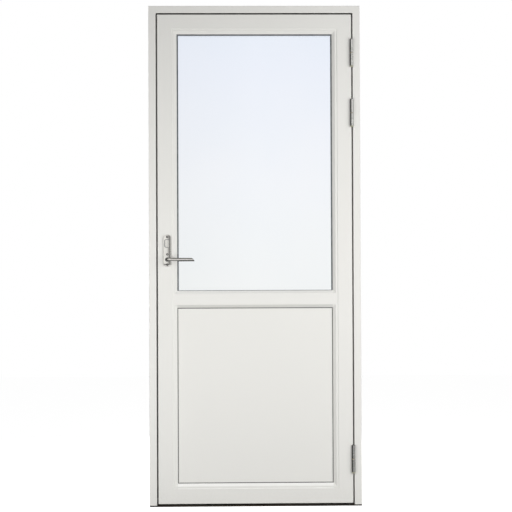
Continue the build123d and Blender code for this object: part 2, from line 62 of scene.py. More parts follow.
def addObject(name, data):
    thing = bpy.data.objects.new(name, data)
    bpy.context.scene.collection.objects.link(thing)
    return thing


# Camera, set from where the door's outline lies in the photograph

photoView = {
    "side": 512,  # pixels, and so are the outline's four edges below
    "left": 149.1,
    "right": 361.0,
    "top": 5.75,
    "bottom": 506.3,
    "distance": 8.0,  # metres from the door's face
    "sensor": 36.0,
    "clipEnd": 100.0,
    "turn": 1.5,  # degrees that the camera stands to the left
    "pitch": 1.0,  # degrees that it looks up
    "roll": 0.24,
}


def makeCamera(values):
    low, high = cadBox
    distance, centre = values["distance"], values["side"] / 2
    turn, pitch = math.radians(values["turn"]), math.radians(values["pitch"])
    above, below = centre - values["top"], values["bottom"] - centre
    height = high.z - low.z
    focal = (above + below) * distance / height  # in pixels
    upper, lower = pitch + math.atan(above / focal), pitch - math.atan(below / focal)
    focal *= distance * (math.tan(upper) - math.tan(lower)) / height
    doorCentre = (values["left"] + values["right"]) / 2
    aim = Vector((
        (low.x + high.x) / 2 + (centre - doorCentre) * distance / focal,
        doorFront,
        low.z - distance * (math.tan(lower) - math.tan(pitch)),
    ))
    place = aim - distance * Vector((math.sin(turn), math.cos(turn), math.tan(pitch)))
    data = bpy.data.cameras.new("photoCamera")
    data.sensor_width = values["sensor"]
    data.lens = values["sensor"] * focal / values["side"]
    data.clip_end = values["clipEnd"]
    camera = addObject("photoCamera", data)
    camera.location = place
    straight = (aim - place).to_track_quat("-Z", "Y").to_matrix()
    rolled = straight @ Matrix.Rotation(-math.radians(values["roll"]), 3, "Z")
    camera.rotation_euler = rolled.to_euler()
    bpy.context.scene.camera = camera


makeCamera(photoView)
bpy.context.scene.view_settings.view_transform = "Standard"
print("camera set")


# Small helpers for node trees

def emptyTree(owner):
    owner.use_nodes = True
    owner.node_tree.nodes.clear()
    return owner.node_tree


def connect(tree, node, sockets):
    for name, value in sockets.items():
        if isinstance(value, bpy.types.NodeSocket):
            tree.links.new(value, node.inputs[name])
        else:
            node.inputs[name].default_value = value


def addNode(tree, kind, sockets=None, **settings):
    node = tree.nodes.new(kind)
    for name, value in settings.items():
        setattr(node, name, value)
    connect(tree, node, sockets or {})
    return node


def calculate(tree, operation, first, second=0.0):
    return addNode(tree, "ShaderNodeMath", {0: first, 1: second}, operation=operation).outputs[0]


def remap(tree, value, span, result=(0.0, 1.0)):  # the span's two ends become the result's
    return addNode(tree, "ShaderNodeMapRange", {
        "Value": value, "From Min": span[0], "From Max": span[1], "To Min": result[0],
        "To Max": result[1],
    }).outputs["Result"]


def splitAxes(tree, vector):
    return addNode(tree, "ShaderNodeSeparateXYZ", {0: vector}).outputs


def surfaceNormal(tree):
    return tree.nodes.new("ShaderNodeNewGeometry").outputs["Normal"]


def mixColours(tree, factor, first, second):
    sockets = {0: factor}
    for index, colour in ((6, first), (7, second)):  # the Mix node's two colour sockets
        sockets[index] = colour if isinstance(colour, bpy.types.NodeSocket) else (*colour, 1)
    return addNode(tree, "ShaderNodeMix", sockets, data_type="RGBA").outputs[2]


def dimColour(tree, colour, share):
    sockets = {0: colour, "Scale": share}
    return addNode(tree, "ShaderNodeVectorMath", sockets, operation="SCALE").outputs["Vector"]


def colourRamp(tree, value, span, colours):  # colours at rising values within the span
    low, high = span
    ramp = tree.nodes.new("ShaderNodeValToRGB")
    stops = ramp.color_ramp.elements
    for index, (place, colour) in enumerate(colours):
        share = (place - low) / (high - low)
        stop = stops[index] if index < 2 else stops.new(share)  # a new ramp has two stops
        stop.position = share
        stop.color = (*colour, 1)
    tree.links.new(remap(tree, value, span), ramp.inputs["Fac"])
    return ramp.outputs["Color"]


def noiseAt(tree, place, scale, detail=3.0, roughness=0.5):
    return addNode(tree, "ShaderNodeTexNoise", {
        "Vector": place, "Scale": scale, "Detail": detail, "Roughness": roughness,
    }).outputs["Fac"]


def newGroup(name, inputs, outputs):
    tree = bpy.data.node_groups.new(name, "ShaderNodeTree")
    for label, kind, value in inputs:
        socket = tree.interface.new_socket(label, in_out="INPUT", socket_type="NodeSocket" + kind)
        if value is not None:
            socket.default_value = value
    for label in outputs:
        tree.interface.new_socket(label, in_out="OUTPUT", socket_type="NodeSocketFloat")
    given = tree.nodes.new("NodeGroupInput").outputs
    return tree, given, tree.nodes.new("NodeGroupOutput")


def useGroup(tree, group, sockets):
    node = addNode(tree, "ShaderNodeGroup", node_tree=group)
    connect(tree, node, sockets)
    return node.outputs


# Effects that several finishes share. A pair of values is where an effect starts and where it is full.

wearLook = {
    "turned": (0.99, 0.8),  # how far the rounded normal agrees with the true one
    "samples": 4,
    "patches": (0.4, 0.62),
}


def makeEdgeWear(values):
    tree, given, result = newGroup("edgeWear", (
        ("Place", "Vector", None), ("Reach", "Float", 2 * mm), ("Patches", "Float", 60.0),
    ), ("Mask",))
    rounded = addNode(tree, "ShaderNodeBevel", {"Radius": given["Reach"]}, samples=values["samples"])
    agreement = addNode(tree, "ShaderNodeVectorMath", {
        0: rounded.outputs["Normal"], 1: surfaceNormal(tree),
    }, operation="DOT_PRODUCT").outputs["Value"]
    edge = remap(tree, agreement, values["turned"])
    patches = remap(tree, noiseAt(tree, given["Place"], given["Patches"]), values["patches"])
    connect(tree, result, {"Mask": calculate(tree, "MULTIPLY", edge, patches)})
    return tree


strokeLook = {"detail": 4.0, "roughness": 0.6, "broadScale": 2.2, "broadDetail": 2.0}


def makeStrokes(values):  # brush strokes, wood fibres and hairlines: noise drawn out along one axis
    tree, given, result = newGroup("strokes", (
        ("Place", "Vector", None), ("Stretch", "Vector", (1, 1, 1)), ("Fineness", "Float", 200.0),
    ), ("Lines", "Broad"))
    drawnOut = addNode(
        tree, "ShaderNodeMapping", {"Vector": given["Place"], "Scale": given["Stretch"]})
    fine = noiseAt(
        tree, drawnOut.outputs["Vector"], given["Fineness"], values["detail"], values["roughness"])
    broad = noiseAt(tree, given["Place"], values["broadScale"], values["broadDetail"])
    connect(tree, result, {"Lines": fine, "Broad": broad})
    return tree


dustLook = {
    "ledge": (0.3, 1.0),  # how far a surface faces up
    "footShare": 0.35,
    "detail": 5.0,
    "roughness": 0.65,
    "specks": (0.38, 0.7),
}


def makeDust(values):  # dust that lies on ledges, and a little dirt near the ground
    tree, given, result = newGroup("dust", (
        ("Place", "Vector", None), ("Grain", "Float", 90.0), ("Splash", "Float", 0.25),
    ), ("Mask",))
    ledge = remap(tree, splitAxes(tree, surfaceNormal(tree))["Z"], values["ledge"])
    height = splitAxes(tree, given["Place"])["Z"]
    foot = remap(tree, height, (given["Splash"], 0.0), (0.0, values["footShare"]))
    noise = noiseAt(tree, given["Place"], given["Grain"], values["detail"], values["roughness"])
    specks = remap(tree, noise, values["specks"])
    lying = calculate(tree, "MAXIMUM", ledge, foot)
    connect(tree, result, {"Mask": calculate(tree, "MULTIPLY", lying, specks)})
    return tree


smudgeLook = {"detail": 4.0, "roughness": 0.6, "marks": (0.35, 0.7)}


def makeSmudges(values):  # where hands and rain leave a surface duller
    tree, given, result = newGroup("smudges", (
        ("Place", "Vector", None), ("Size", "Float", 25.0), ("Clean", "Float", 0.2),
        ("Marked", "Float", 0.35),
    ), ("Roughness",))
    noise = noiseAt(tree, given["Place"], given["Size"], values["detail"], values["roughness"])
    marks = remap(tree, noise, values["marks"])
    span = calculate(tree, "SUBTRACT", given["Marked"], given["Clean"])
    rough = calculate(tree, "ADD", given["Clean"], calculate(tree, "MULTIPLY", marks, span))
    connect(tree, result, {"Roughness": rough})
    return tree


jointShadeAndGrimeLook = {"samples": 6, "scale": 35.0, "patches": (0.2, 0.6), "thinnest": 0.75}


def makeJointShadeAndGrime(values):  # painted shade in narrow joints, where ambient occlusion finds little open sky, with some grime
    tree, given, result = newGroup("jointShadeAndGrime", (
        ("Place", "Vector", None), ("Reach", "Float", 10 * mm), ("Free", "Float", 0.6),
        ("Shut", "Float", 0.2),
    ), ("Mask",))
    sky = addNode(
        tree, "ShaderNodeAmbientOcclusion", {"Distance": given["Reach"]}, samples=values["samples"])
    jointShadeAndGrimeMask = remap(tree, sky.outputs["AO"], (given["Free"], given["Shut"]))
    noise = noiseAt(tree, given["Place"], values["scale"])
    patches = remap(tree, noise, values["patches"], (values["thinnest"], 1.0))
    connect(tree, result, {"Mask": calculate(tree, "MULTIPLY", jointShadeAndGrimeMask, patches)})
    return tree


upAndDownLightLook = {"slope": (0.3, 0.5), "scale": 9.0, "patches": (0.3, 0.7), "thinnest": 0.85}


def makeUpAndDownLight(values):  # painted light on what faces up, painted shade under what faces down
    tree, given, result = newGroup("upAndDownLight", (
        ("Place", "Vector", None), ("LightAboveShare", "Float", 0.0), ("ShadeBelowShare", "Float", 0.0),
    ), ("Above", "Below"))
    facing = splitAxes(tree, surfaceNormal(tree))["Z"]
    noise = noiseAt(tree, given["Place"], values["scale"])
    patches = remap(tree, noise, values["patches"], (values["thinnest"], 1.0))
    for label, share, way in (("Above", "LightAboveShare", 1), ("Below", "ShadeBelowShare", -1)):
        slope = remap(tree, facing, [way * limit for limit in values["slope"]])
        amount = calculate(tree, "MULTIPLY", slope, given[share])
        connect(tree, result, {label: calculate(tree, "MULTIPLY", amount, patches)})
    return tree


paintedSideShadeLook = {"edgeOn": (0.99, 0.999)}  # the hinges' wings face along the door and get no painted side shade


def makePaintedSideShade(values):  # mask for painted shade and dark reflection: metal stays bright only where it faces out of the door, and Lean shades one side more
    tree, given, result = newGroup("paintedSideShade", (
        ("FullShadeAt", "Float", 0.3), ("Bright", "Float", 0.9), ("Lean", "Float", 0.0),
    ), ("Mask",))
    facing = splitAxes(tree, tree.nodes.new("ShaderNodeTexCoord").outputs["Normal"])
    outwards = calculate(tree, "ABSOLUTE", facing["Y"])
    lean = calculate(tree, "MULTIPLY", facing["X"], given["Lean"])
    leaning = calculate(tree, "ADD", outwards, lean)
    # the unshaded share: painted shade falls where metal turns from the front
    rubbed = remap(tree, leaning, (given["FullShadeAt"], given["Bright"]))
    wings = remap(tree, calculate(tree, "ABSOLUTE", facing["X"]), values["edgeOn"])
    connect(tree, result, {"Mask": calculate(tree, "MAXIMUM", rubbed, wings)})
    return tree


edgeWear, strokes, dust = makeEdgeWear(wearLook), makeStrokes(strokeLook), makeDust(dustLook)
smudges, jointShadeAndGrime = makeSmudges(smudgeLook), makeJointShadeAndGrime(jointShadeAndGrimeLook)
upAndDownLight, paintedSideShade = makeUpAndDownLight(upAndDownLightLook), makePaintedSideShade(paintedSideShadeLook)
print("node groups made")


# Finishes

def newFinish(name, plain=None):  # plain holds what is the same all over the surface
    material = bpy.data.materials.new(name)
    tree = emptyTree(material)
    shader = addNode(tree, "ShaderNodeBsdfPrincipled", plain)
    addNode(tree, "ShaderNodeOutputMaterial", {"Surface": shader.outputs[0]})
    place = tree.nodes.new("ShaderNodeTexCoord").outputs["Object"]
    return material, tree, shader, place


def addBump(tree, shader, height, depth):
    bump = addNode(tree, "ShaderNodeBump", {"Height": height, "Distance": depth})
    connect(tree, shader, {"Normal": bump.outputs["Normal"]})


def addStrokes(tree, place, stretch, fineness):
    return useGroup(tree, strokes, {"Place": place, "Stretch": stretch, "Fineness": fineness})


def addLayer(tree, colour, mask, cover, layer):
    return mixColours(tree, calculate(tree, "MULTIPLY", mask, cover), colour, layer)


def addWear(tree, place, colour, values, layer):
    sockets = {"Place": place, "Reach": values["wearReach"], "Patches": values["wearPatches"]}
    worn = useGroup(tree, edgeWear, sockets)["Mask"]
    return addLayer(tree, colour, worn, values["wearCover"], layer)


def dustMask(tree, place, values):
    sockets = {"Place": place, "Grain": values["dustGrain"], "Splash": values["dustSplash"]}
    return useGroup(tree, dust, sockets)["Mask"]


def smudgedRoughness(tree, place, values):
    return useGroup(tree, smudges, {
        "Place": place, "Size": values["smudgeSize"], "Clean": values["clean"],
        "Marked": values["marked"],
    })["Roughness"]


alongZ, alongX, evenly = (1, 1, 0.035), (0.035, 1, 1), (1, 1, 1)

paint = {
    "colour": (0.775, 0.768, 0.738),
    "shaded": (0.750, 0.742, 0.708),  # where the coat lies a little thinner
    "rubbed": (0.70, 0.675, 0.62),
    "dusty": (0.52, 0.50, 0.455),
    # painted light for faces that look up, painted shade for faces that look down
    "paintedLightAbove": (0.900, 0.895, 0.872),
    "paintedShadeBelow": (0.655, 0.650, 0.622),
    # near-black painted shade deep in joints, with some grime
    "jointShadeAndGrimeColour": (0.06, 0.058, 0.052),
    "stretch": alongX,
    "fineness": 260.0,
    "strokeDepth": 0.035 * mm,
    "strokes": (0.3, 0.7),
    "streakShare": 0.5,
    "wearReach": 1.2 * mm,
    "wearPatches": 45.0,
    "wearCover": 0.35,
    "dustGrain": 120.0,
    "dustSplash": 0.16,  # metres above the ground
    "dustCover": 0.30,
    "paintedLightAboveShare": 0.0,
    "paintedShadeBelowShare": 0.0,
    "jointShadeAndGrimeReach": 8 * mm,
    "jointShadeAndGrimeFree": 0.65,  # share of open sky from which a joint gets neither painted shade nor grime
    "jointShadeAndGrimeSpan": 0.3,
    "jointShadeAndGrimeCover": 1.0,
    "smudgeSize": 14.0,
    "clean": 0.34,
    "marked": 0.46,
}
paintChanges = {
    "paintUpright": {"stretch": alongZ, "jointShadeAndGrimeFree": 0.5, "jointShadeAndGrimeCover": 0.8},
    "paintLevel": {},
    # the middle rail gets painted shade under it and some painted light on top; the bottom rail gets
    # painted light on top
    "paintMiddle": {"paintedLightAboveShare": 0.35, "paintedShadeBelowShare": 1.0},
    "paintFoot": {"paintedLightAboveShare": 1.0},
    "paintHigh": {"jointShadeAndGrimeReach": 16 * mm},  # more painted shade in the top joint
    "paintPanel": {"stretch": evenly, "fineness": 572.0, "jointShadeAndGrimeFree": 0.5, "jointShadeAndGrimeCover": 0.8},
}


def makePaint(name, values):
    material, tree, shader, place = newFinish(name)
    coat = addStrokes(tree, place, values["stretch"], values["fineness"])
    thin = remap(tree, coat["Broad"], values["strokes"])
    streaks = remap(tree, coat["Lines"], values["strokes"], (0.0, values["streakShare"]))
    shade = calculate(tree, "MULTIPLY", thin, streaks)
    colour = mixColours(tree, shade, values["colour"], values["shaded"])
    colour = addWear(tree, place, colour, values, values["rubbed"])
    settled = dustMask(tree, place, values)
    colour = addLayer(tree, colour, settled, values["dustCover"], values["dusty"])
    # painted light on upward faces and painted shade on downward ones
    facing = useGroup(tree, upAndDownLight, {
        "Place": place, "LightAboveShare": values["paintedLightAboveShare"], "ShadeBelowShare": values["paintedShadeBelowShare"],
    })
    colour = mixColours(tree, facing["Above"], colour, values["paintedLightAbove"])
    colour = mixColours(tree, facing["Below"], colour, values["paintedShadeBelow"])
    # painted shade and grime in joints, from ambient occlusion
    jointShadeAndGrimeMask = useGroup(tree, jointShadeAndGrime, {
        "Place": place, "Reach": values["jointShadeAndGrimeReach"], "Free": values["jointShadeAndGrimeFree"],
        "Shut": values["jointShadeAndGrimeFree"] - values["jointShadeAndGrimeSpan"],
    })["Mask"]
    colour = addLayer(tree, colour, jointShadeAndGrimeMask, values["jointShadeAndGrimeCover"], values["jointShadeAndGrimeColour"])
    rough = smudgedRoughness(tree, place, values)
    connect(tree, shader, {"Base Color": colour, "Roughness": rough})
    addBump(tree, shader, coat["Lines"], values["strokeDepth"])
    return material


threshold = {
    "fibre": (0.034, 0.025, 0.018),
    "between": (0.013, 0.010, 0.008),
    "worn": (0.085, 0.062, 0.045),
    "dusty": (0.12, 0.11, 0.10),
    "specular": 0.25,
    "fibreStretch": (0.03, 1, 1),
    "fibreFineness": 420.0,
    "fibreDepth": 0.25 * mm,
    "ringStretch": (0.06, 1, 1),
    "ringFineness": 60.0,
    "rings": (0.35, 0.65),
    "bands": (0.1, 0.5),
    "wearReach": 2 * mm,
    "wearPatches": 30.0,
    "wearCover": 0.6,
    "dustGrain": 150.0,
    "dustSplash": 0.001,
    "dustCover": 0.35,
    "fibres": (0.3, 0.7),
    "roughness": (0.42, 0.62),
}


def makeThresholdTimber(values):
    material, tree, shader, place = newFinish(
        "oiledThreshold", {"Specular IOR Level": values["specular"]})
    fibres = addStrokes(tree, place, values["fibreStretch"], values["fibreFineness"])["Lines"]
    rings = addStrokes(tree, place, values["ringStretch"], values["ringFineness"])["Lines"]
    bands = calculate(tree, "MULTIPLY", remap(tree, rings, values["rings"]), fibres)
    bands = remap(tree, bands, values["bands"])
    colour = mixColours(tree, bands, values["between"], values["fibre"])
    colour = addWear(tree, place, colour, values, values["worn"])
    settled = dustMask(tree, place, values)
    colour = addLayer(tree, colour, settled, values["dustCover"], values["dusty"])
    rough = remap(tree, fibres, values["fibres"], values["roughness"])
    connect(tree, shader, {"Base Color": colour, "Roughness": rough})
    addBump(tree, shader, fibres, values["fibreDepth"])
    return material


metal = {
    "metallic": 1.0,
    "specularTint": (1, 1, 1),
    "stretch": evenly,
    "fineness": 900.0,
    "filmScale": 70.0,
    "filmDetail": 4.0,
    "filmRoughness": 0.6,
    "film": (0.35, 0.7),
    "filmCover": 0.6,
    "wearReach": 0.6 * mm,
    "wearPatches": 150.0,
    "wearCover": 0.25,
    "wearGain": 1.25,
    "smudgeSize": 45.0,
}
metalChanges = {
    "handleNickel": {
        "colour": (0.84, 0.825, 0.79), "dull": (0.72, 0.71, 0.68), "clean": 0.10, "marked": 0.2,
        "depth": 0.004 * mm, "specularTint": (0.3, 0.3, 0.28),
    },
    "leverNickel": {
        "colour": (0.84, 0.82, 0.78), "dull": (0.74, 0.72, 0.69), "clean": 0.10, "marked": 0.2,
        "depth": 0.004 * mm, "specularTint": (0.3, 0.3, 0.28),
        # painted dark reflection along the lever's top and bottom
        "sides": {"share": 0.14, "dull": 0.78, "bright": 0.95, "lean": -0.15},
    },
    "hingeZinc": {
        "colour": (0.80, 0.80, 0.77), "dull": (0.68, 0.68, 0.65), "clean": 0.24, "marked": 0.34,
        "depth": 0.01 * mm, "fineness": 700.0, "metallic": 0.5, "wearCover": 0.1,
        # painted shade on the hinges' sides, more on the left
        "sides": {"share": 0.1, "dull": 0.78, "bright": 1.0, "lean": 0.35},
        # painted shade by height: the bottom hinge darkest
        "shadeByHeight": {"low": (0.3, 1.5), "high": (1.7, 1.8), "foot": 0.5, "middle": 0.95, "top": 1.0},
    },
    "capZinc": {
        "colour": (0.50, 0.49, 0.38), "dull": (0.36, 0.35, 0.26), "clean": 0.35, "marked": 0.5,
        "depth": 0.02 * mm, "fineness": 700.0, "metallic": 0.5,
    },
    "lockSteel": {
        "colour": (0.60, 0.60, 0.58), "dull": (0.46, 0.46, 0.44), "clean": 0.28, "marked": 0.42,
        "depth": 0.01 * mm, "fineness": 1200.0, "stretch": alongZ,
    },
    "washerBrass": {
        "colour": (0.62, 0.50, 0.28), "dull": (0.42, 0.33, 0.19), "clean": 0.28, "marked": 0.42,
        "depth": 0.01 * mm, "fineness": 700.0,
    },
    "screwSteel": {
        "colour": (0.045, 0.045, 0.043), "dull": (0.025, 0.025, 0.024), "clean": 0.35, "marked": 0.5,
        "depth": 0.01 * mm, "metallic": 0.7,
    },
}


def addPaintedSideShade(tree, tone, values):  # painted shade and dark reflection: down to a share of the tone where metal turns from the front
    frontFacingShare = useGroup(tree, paintedSideShade, {
        "FullShadeAt": values["dull"], "Bright": values["bright"], "Lean": values["lean"],
    })["Mask"]
    return dimColour(tree, tone, remap(tree, frontFacingShare, (0.0, 1.0), (values["share"], 1.0)))


def addPaintedShadeByHeight(tree, tone, place, values):  # painted shade: shares of the tone by metres above the ground, darkest near the ground
    height = splitAxes(tree, place)["Z"]
    low = remap(tree, height, values["low"], (values["foot"], values["middle"]))
    high = remap(tree, height, values["high"], (1.0, values["top"] / values["middle"]))
    return dimColour(tree, tone, calculate(tree, "MULTIPLY", low, high))


def makeMetal(name, values):
    material, tree, shader, place = newFinish(name, {
        "Metallic": values["metallic"], "Specular Tint": (*values["specularTint"], 1),
    })
    lines = addStrokes(tree, place, values["stretch"], values["fineness"])["Lines"]
    film = noiseAt(tree, place, values["filmScale"], values["filmDetail"], values["filmRoughness"])
    film = remap(tree, film, values["film"])
    tone = addLayer(tree, values["colour"], film, values["filmCover"], values["dull"])
    bright = tuple(min(1.0, values["wearGain"] * part) for part in values["colour"])
    tone = addWear(tree, place, tone, values, bright)
    if "sides" in values:
        tone = addPaintedSideShade(tree, tone, values["sides"])
    if "shadeByHeight" in values:
        tone = addPaintedShadeByHeight(tree, tone, place, values["shadeByHeight"])
    connect(tree, shader, {"Base Color": tone, "Roughness": smudgedRoughness(tree, place, values)})
    addBump(tree, shader, lines, values["depth"])
    return material


rubber = {
    "bloomScale": 60.0,
    "bloomDetail": 5.0,
    "bloomRoughness": 0.65,
    "bloom": (0.35, 0.75),
    "dustGrain": 200.0,
    "dustSplash": 0.05,
    "roughSpan": 0.15,
    "grain": 900.0,
    "grainDepth": 0.02 * mm,
}
rubberChanges = {
    "sealRubber": {"colour": (0.070, 0.080, 0.088), "faded": (0.16, 0.17, 0.18), "rough": 0.5},
    "panelSealant": {"colour": (0.09, 0.09, 0.088), "faded": (0.15, 0.15, 0.145), "rough": 0.55},
}


def makeRubber(name, values):
    material, tree, shader, place = newFinish(name)
    bloom = noiseAt(tree, place, values["bloomScale"], values["bloomDetail"], values["bloomRoughness"])
    bloom = remap(tree, bloom, values["bloom"])
    pale = calculate(tree, "MAXIMUM", bloom, dustMask(tree, place, values))
    colour = mixColours(tree, pale, values["colour"], values["faded"])
    rough = values["rough"]
    roughness = remap(tree, bloom, (0.0, 1.0), (rough, rough + values["roughSpan"]))
    connect(tree, shader, {"Base Color": colour, "Roughness": roughness})
    addBump(tree, shader, noiseAt(tree, place, values["grain"]), values["grainDepth"])
    return material


spacer = {
    "colour": (0.66, 0.67, 0.68),
    "hole": (0.12, 0.12, 0.12),
    "holeScale": 330.0,
    "holeEdge": (0.12, 0.16),
    "holeDepth": 0.1 * mm,
    "smudgeSize": 60.0,
    "clean": 0.32,
    "marked": 0.45,
}


def makeSpacerMetal(values):
    material, tree, shader, place = newFinish("spacerAluminium", {"Metallic": 1.0})
    holes = addNode(tree, "ShaderNodeTexVoronoi", {
        "Vector": place, "Scale": values["holeScale"], "Randomness": 0.0,
    })
    solid = remap(tree, holes.outputs["Distance"], values["holeEdge"])
    colour = mixColours(tree, solid, values["hole"], values["colour"])
    rough = smudgedRoughness(tree, place, values)
    connect(tree, shader, {"Base Color": colour, "Roughness": rough})
    addBump(tree, shader, solid, values["holeDepth"])
    return material


glass = {
    "clear": (0.985, 0.995, 1.0),
    "hazy": (0.975, 0.99, 0.998),
    "hazeScale": 3.0,
    "hazeDetail": 2.0,
    "haze": (0.3, 0.7),
    "ior": 1.5,
}


def makeGlass(values):
    material, tree, shader, place = newFinish(
        "clearGlass", {"Transmission Weight": 1.0, "Roughness": 0.0, "IOR": values["ior"]})
    haze = noiseAt(tree, place, values["hazeScale"], values["hazeDetail"])
    haze = remap(tree, haze, values["haze"])
    connect(tree, shader, {"Base Color": mixColours(tree, haze, values["clear"], values["hazy"])})
    return material


finishes = {name: makePaint(name, {**paint, **changes}) for name, changes in paintChanges.items()}
finishes["oiledThreshold"] = makeThresholdTimber(threshold)
finishes["clearGlass"] = makeGlass(glass)
finishes["spacerAluminium"] = makeSpacerMetal(spacer)
for name, changes in rubberChanges.items():
    finishes[name] = makeRubber(name, {**rubber, **changes})
for name, changes in metalChanges.items():
    finishes[name] = makeMetal(name, {**metal, **changes})

hingeLevels, leafSides = ("bottom", "middle", "top"), ("outside", "inside")
nodesOf = {
    "paintUpright": [
        "jamb_latch", "jamb_hinge", "stile_latch", "stile_hinge", "bead_glass_left",
        "bead_glass_right", "bead_panel_left", "bead_panel_right"],
    "paintLevel": ["bead_glass_top", "bead_glass_bottom", "bead_panel_top", "bead_panel_bottom"],
    "paintMiddle": ["rail_middle"],
    "paintFoot": ["rail_bottom"],
    "paintHigh": ["head", "rail_top"],
    "paintPanel": ["lower_panel"],
    "oiledThreshold": ["threshold"],
    "clearGlass": ["glass_outer", "glass_inner"],
    "spacerAluminium": ["glass_spacer"],
    "sealRubber": ["glass_seals", "frame_seal"],
    "panelSealant": ["panel_seals"],
    "lockSteel": ["lock_faceplate", "lock_bolts", "strike_plates", "spindle"],
    "washerBrass": [f"hinge_{level}_washer" for level in hingeLevels],
    "hingeZinc": [f"hinge_{level}_{body}" for level in hingeLevels for body in ("frame", "leaf")],
    "handleNickel": [
        f"{node}_{side}" for node in ("handle_plate", "cylinder_cover", "lever") for side in leafSides],
}
for name, nodes in nodesOf.items():
    for node in nodes:
        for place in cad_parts[node].material_slots:
            place.material = finishes[name]
print("finishes given to the nodes")


# Mesh helpers

weldDistance = 0.002 * mm


def addMesh(name, bm, material):
    mesh = bpy.data.meshes.new(name)
    bm.to_mesh(mesh)
    bm.free()
    mesh.materials.append(material)
    return addObject(name, mesh)


def keepPiece(name, bm, body, finish, standsFor=(), sharpAngle=35.0):
    bmesh.ops.remove_doubles(bm, verts=bm.verts, dist=weldDistance)
    bmesh.ops.recalc_face_normals(bm, faces=bm.faces)
    for face in bm.faces:
        face.smooth = True
    for edge in bm.edges:
        edge.smooth = edge.calc_face_angle(0.0) < math.radians(sharpAngle)
    piece = addMesh(name, bm, finishes[finish])
    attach(piece, body)
    if standsFor:
        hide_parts(*standsFor)


def setDown(bm, spot, known=()):  # moves what was made since known to its place
    made = [vert for vert in bm.verts if vert not in known]
    bmesh.ops.transform(bm, matrix=spot, verts=made)


def roundedFace(bm, size, middle, corner, segments, level=0.0, rounded=None):
    made = bmesh.ops.create_grid(bm, x_segments=1, y_segments=1, size=0.5)["verts"]
    face = made[0].link_faces[0]
    bmesh.ops.scale(bm, vec=(*size, 1), verts=made)
    bmesh.ops.translate(bm, vec=(*middle, level), verts=made)
    if rounded:  # tells which corners are rounded
        made = [vert for vert in made if rounded(vert.co)]
    known = set(bm.faces) - {face}
    bmesh.ops.bevel(
        bm, geom=made, offset=corner, offset_type="OFFSET", segments=segments,
        profile=0.5, affect="VERTICES", material=-1)
    return max((face for face in bm.faces if face not in known), key=lambda face: len(face.verts))


def raiseFace(bm, face, height):
    made = bmesh.ops.extrude_face_region(bm, geom=[face])["geom"]
    verts = [item for item in made if isinstance(item, bmesh.types.BMVert)]
    bmesh.ops.translate(bm, vec=(0, 0, height), verts=verts)
    return next(item for item in made if isinstance(item, bmesh.types.BMFace))


def crownFace(bm, face, run, rise, steps, sweep=90):  # rounds the rim, and leaves a smaller flat face
    for step in range(steps):
        start, end = (math.radians(sweep) * turn / steps for turn in (step, step + 1))
        bmesh.ops.inset_region(
            bm, faces=[face], use_boundary=True, use_even_offset=True,
            thickness=run * (math.cos(start) - math.cos(end)),
            depth=rise * (math.sin(end) - math.sin(start)))


def spinProfile(bm, profile, steps=48):  # profile gives pairs of radius and height
    verts = [bm.verts.new((radius, 0, height)) for radius, height in profile]
    edges = [bm.edges.new(pair) for pair in zip(verts, verts[1:])]
    bmesh.ops.spin(
        bm, geom=verts + edges, cent=(0, 0, 0), axis=(0, 0, 1), angle=2 * math.pi,
        steps=steps, use_merge=True)


def arcPoints(middle, radius, start, end, count=6, rise=None):  # with a rise of its own it is oval
    across, up = middle
    rise = rise or radius
    turns = [math.radians(start + (end - start) * index / count) for index in range(count + 1)]
    return [(across + radius * math.cos(turn), up + rise * math.sin(turn)) for turn in turns]


def pushRing(bm, ring, move=(0, 0, 0), size=1.0, turn=None):  # the next ring of a tube
    made = bmesh.ops.extrude_edge_only(bm, edges=ring)["geom"]
    verts = [item for item in made if isinstance(item, bmesh.types.BMVert)]
    if turn:
        bmesh.ops.rotate(bm, cent=turn[0], matrix=turn[1], verts=verts)
    bmesh.ops.translate(bm, vec=move, verts=verts)
    middle = sum((vert.co for vert in verts), Vector()) / len(verts)
    bmesh.ops.scale(bm, vec=(size, size, size), space=Matrix.Translation(-middle), verts=verts)
    inside = set(verts)
    return [item for item in made if isinstance(item, bmesh.types.BMEdge) and set(item.verts) <= inside]


def ringEdges(verts):
    return list({edge for vert in verts for edge in vert.link_edges})


def ringVerts(ring):
    return list({vert for edge in ring for vert in edge.verts})


screw = {  # a raised countersunk head with a cross recess; lengths are shares of its radius
    "crossHalf": 0.13,
    "crossReach": 0.58,
    "crossDepth": 0.5,
    "crossTaper": 0.75,
    "face": 0.9,
    "dome": 0.14,
    "rim": 0.5,
    "foot": 0.6,
    "segments": 28,
    "sharpAngle": 25.0,
}


